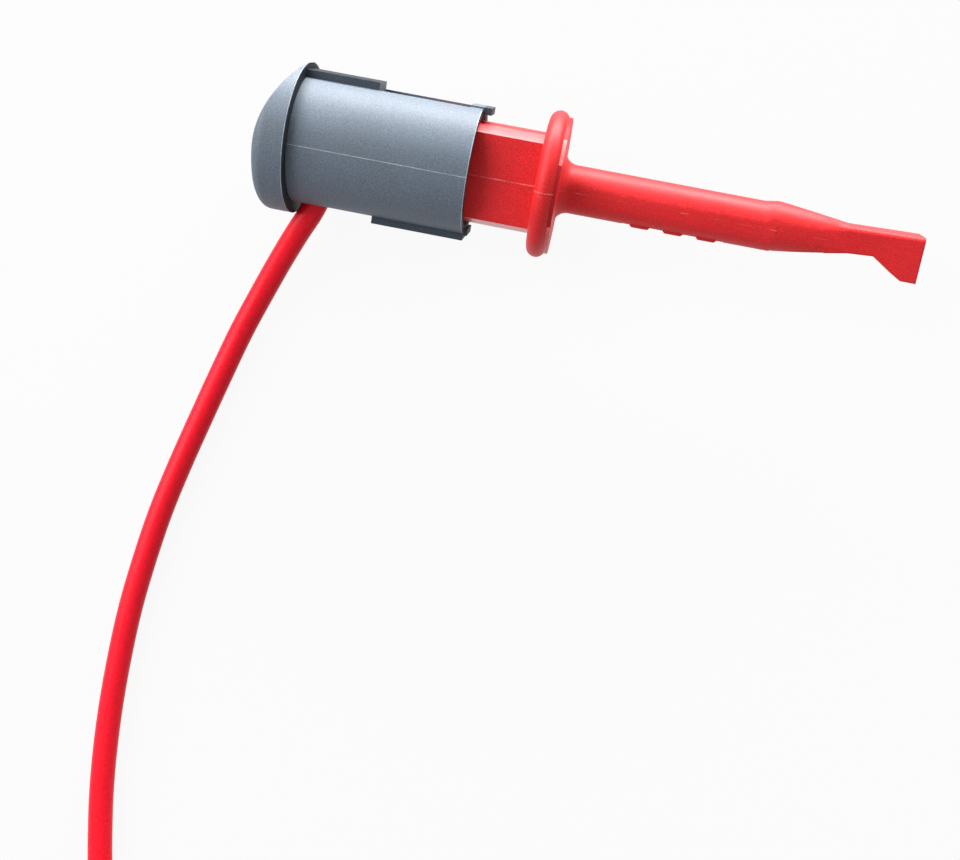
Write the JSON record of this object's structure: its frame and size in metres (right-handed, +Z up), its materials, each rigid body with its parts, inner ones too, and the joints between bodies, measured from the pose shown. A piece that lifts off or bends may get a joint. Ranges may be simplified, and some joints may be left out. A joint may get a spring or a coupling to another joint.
{
  "type": "oscilloscope probe",
  "caption": "Spring-hook test probe: a thumb cap pushes a gold-plated hook out of the barrel's duckbill tip, and its flexible lead ends in a straight 4 mm plug.",
  "frame": {"origin": "on the surface that the probe lies on, below the middle of the probe's length", "axes": "+X along the probe from the thumb cap to the hook's tip, +Y away from the side where the lead leaves the sleeve, +Z up. The probe lies rolled by 20 degrees about +X, which turns the lead's window down to the surface"},
  "size_m": [0.0844, 0.1159, 0.013],
  "materials": {
    "barrel_plastic": "satin red moulded plastic",
    "sleeve_plastic": "satin blue-grey moulded plastic",
    "cap_plastic": "satin blue-grey moulded plastic",
    "hook_gold": "polished gold plating on spring wire",
    "spring_steel": "drawn spring steel",
    "crimp_brass": "plain brass",
    "conductor_copper": "stranded copper, drawn as one rod",
    "lead_jacket": "glossy red flexible jacket",
    "plug_plastic": "satin red moulded plastic",
    "plug_nickel": "bright nickel plating",
    "leaf_nickel": "bright nickel plating",
    "screw_steel": "zinc-plated steel"
  },
  "bodies": {
    "barrel": {"barrel": "barrel_plastic"},
    "plunger": {"plunger_sleeve": "sleeve_plastic", "thumb_cap": "cap_plastic", "hook_wire": "hook_gold", "return_spring": "spring_steel", "crimp_sleeve": "crimp_brass", "hook_conductor": "conductor_copper", "lead": "lead_jacket", "lead_coil": "lead_jacket", "plug_handle": "plug_plastic", "plug_core": "plug_nickel", "contact_leaves": "leaf_nickel", "clamp_screw": "screw_steel", "plug_conductor": "conductor_copper"}
  },
  "joints": [
    {"name": "plunger_press", "type": "slide", "parent": "barrel", "child": "plunger", "axis": [1, 0, 0], "range_m": [0, 0.0048], "stiffness_N_per_m": 500, "springref_m": -0.003, "deforming": ["return_spring"]}
  ]
}
